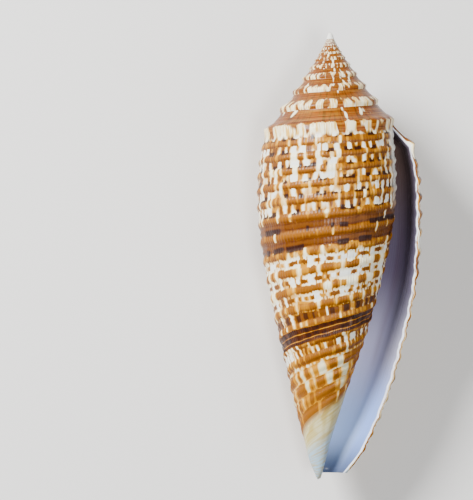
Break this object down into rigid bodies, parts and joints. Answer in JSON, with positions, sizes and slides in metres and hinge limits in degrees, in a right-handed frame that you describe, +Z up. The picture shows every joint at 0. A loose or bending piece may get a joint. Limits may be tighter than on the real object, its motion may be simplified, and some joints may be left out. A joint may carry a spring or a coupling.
{
  "type": "cone shell",
  "caption": "Tall-spired sea snail shell with beaded spiral cords and a long narrow aperture, lying on its back as it rests on a table.",
  "frame": {"origin": "centre of the bounding box's bottom face, on the surface the shell rests on", "axes": "+Z up, +Y along the shell towards its spire, +X towards its outer lip"},
  "size_m": [0.0256, 0.07, 0.0226],
  "materials": {
    "shell": "glossy, cream with ochre and dark brown dashes on spiral cords"
  },
  "bodies": {
    "root": {"shell": "shell"}
  },
  "joints": []
}
